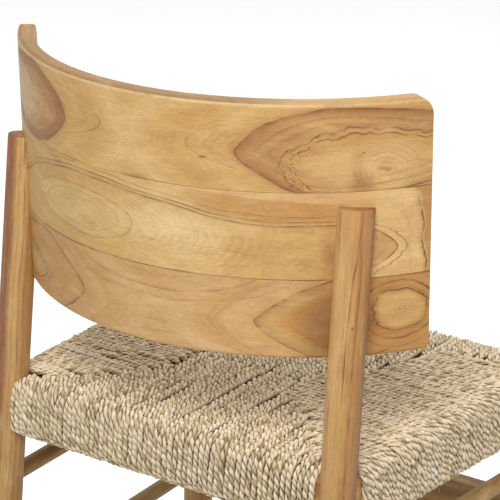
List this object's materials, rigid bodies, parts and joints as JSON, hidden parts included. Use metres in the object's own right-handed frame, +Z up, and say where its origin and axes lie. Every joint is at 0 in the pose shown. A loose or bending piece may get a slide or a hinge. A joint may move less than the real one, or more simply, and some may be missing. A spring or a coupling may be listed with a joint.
{
  "type": "dining chair",
  "caption": "Solid teak dining chair with round legs, a deep curved backrest of edge-glued planks and a woven seagrass seat over wooden rails.",
  "frame": {"origin": "floor level, at the centre of the chair's bounding box in plan", "axes": "+Z up, the front of the chair faces -Y, +X is the sitter's left"},
  "size_m": [0.5352, 0.475, 0.8336],
  "materials": {
    "teak": "clear satin oil on sanded teak",
    "seagrass": "matte twisted seagrass cord",
    "stuffing": "folded paper and straw, hidden",
    "steel": "zinc plated",
    "glide": "matte nylon"
  },
  "bodies": {
    "root": {"rear_leg_left": "teak", "rear_leg_right": "teak", "front_leg_left": "teak", "front_leg_right": "teak", "rear_rail": "teak", "front_rail": "teak", "left_rail": "teak", "right_rail": "teak", "upper_rung_left": "teak", "upper_rung_right": "teak", "lower_rung_left": "teak", "lower_rung_right": "teak", "rear_rung": "teak", "front_board": "teak", "back_plank_bottom": "teak", "back_plank_middle": "teak", "back_plank_top": "teak", "dowel_lower_1": "teak", "dowel_lower_2": "teak", "dowel_lower_3": "teak", "dowel_lower_4": "teak", "dowel_upper_1": "teak", "dowel_upper_2": "teak", "dowel_upper_3": "teak", "dowel_upper_4": "teak", "screw_left_lower": "steel", "screw_left_upper": "steel", "screw_right_lower": "steel", "screw_right_upper": "steel", "plug_left_lower": "teak", "plug_left_upper": "teak", "plug_right_lower": "teak", "plug_right_upper": "teak", "woven_seat": "seagrass", "seat_stuffing": "stuffing", "glide_rear_left": "glide", "glide_rear_right": "glide", "glide_front_left": "glide", "glide_front_right": "glide"}
  },
  "joints": []
}
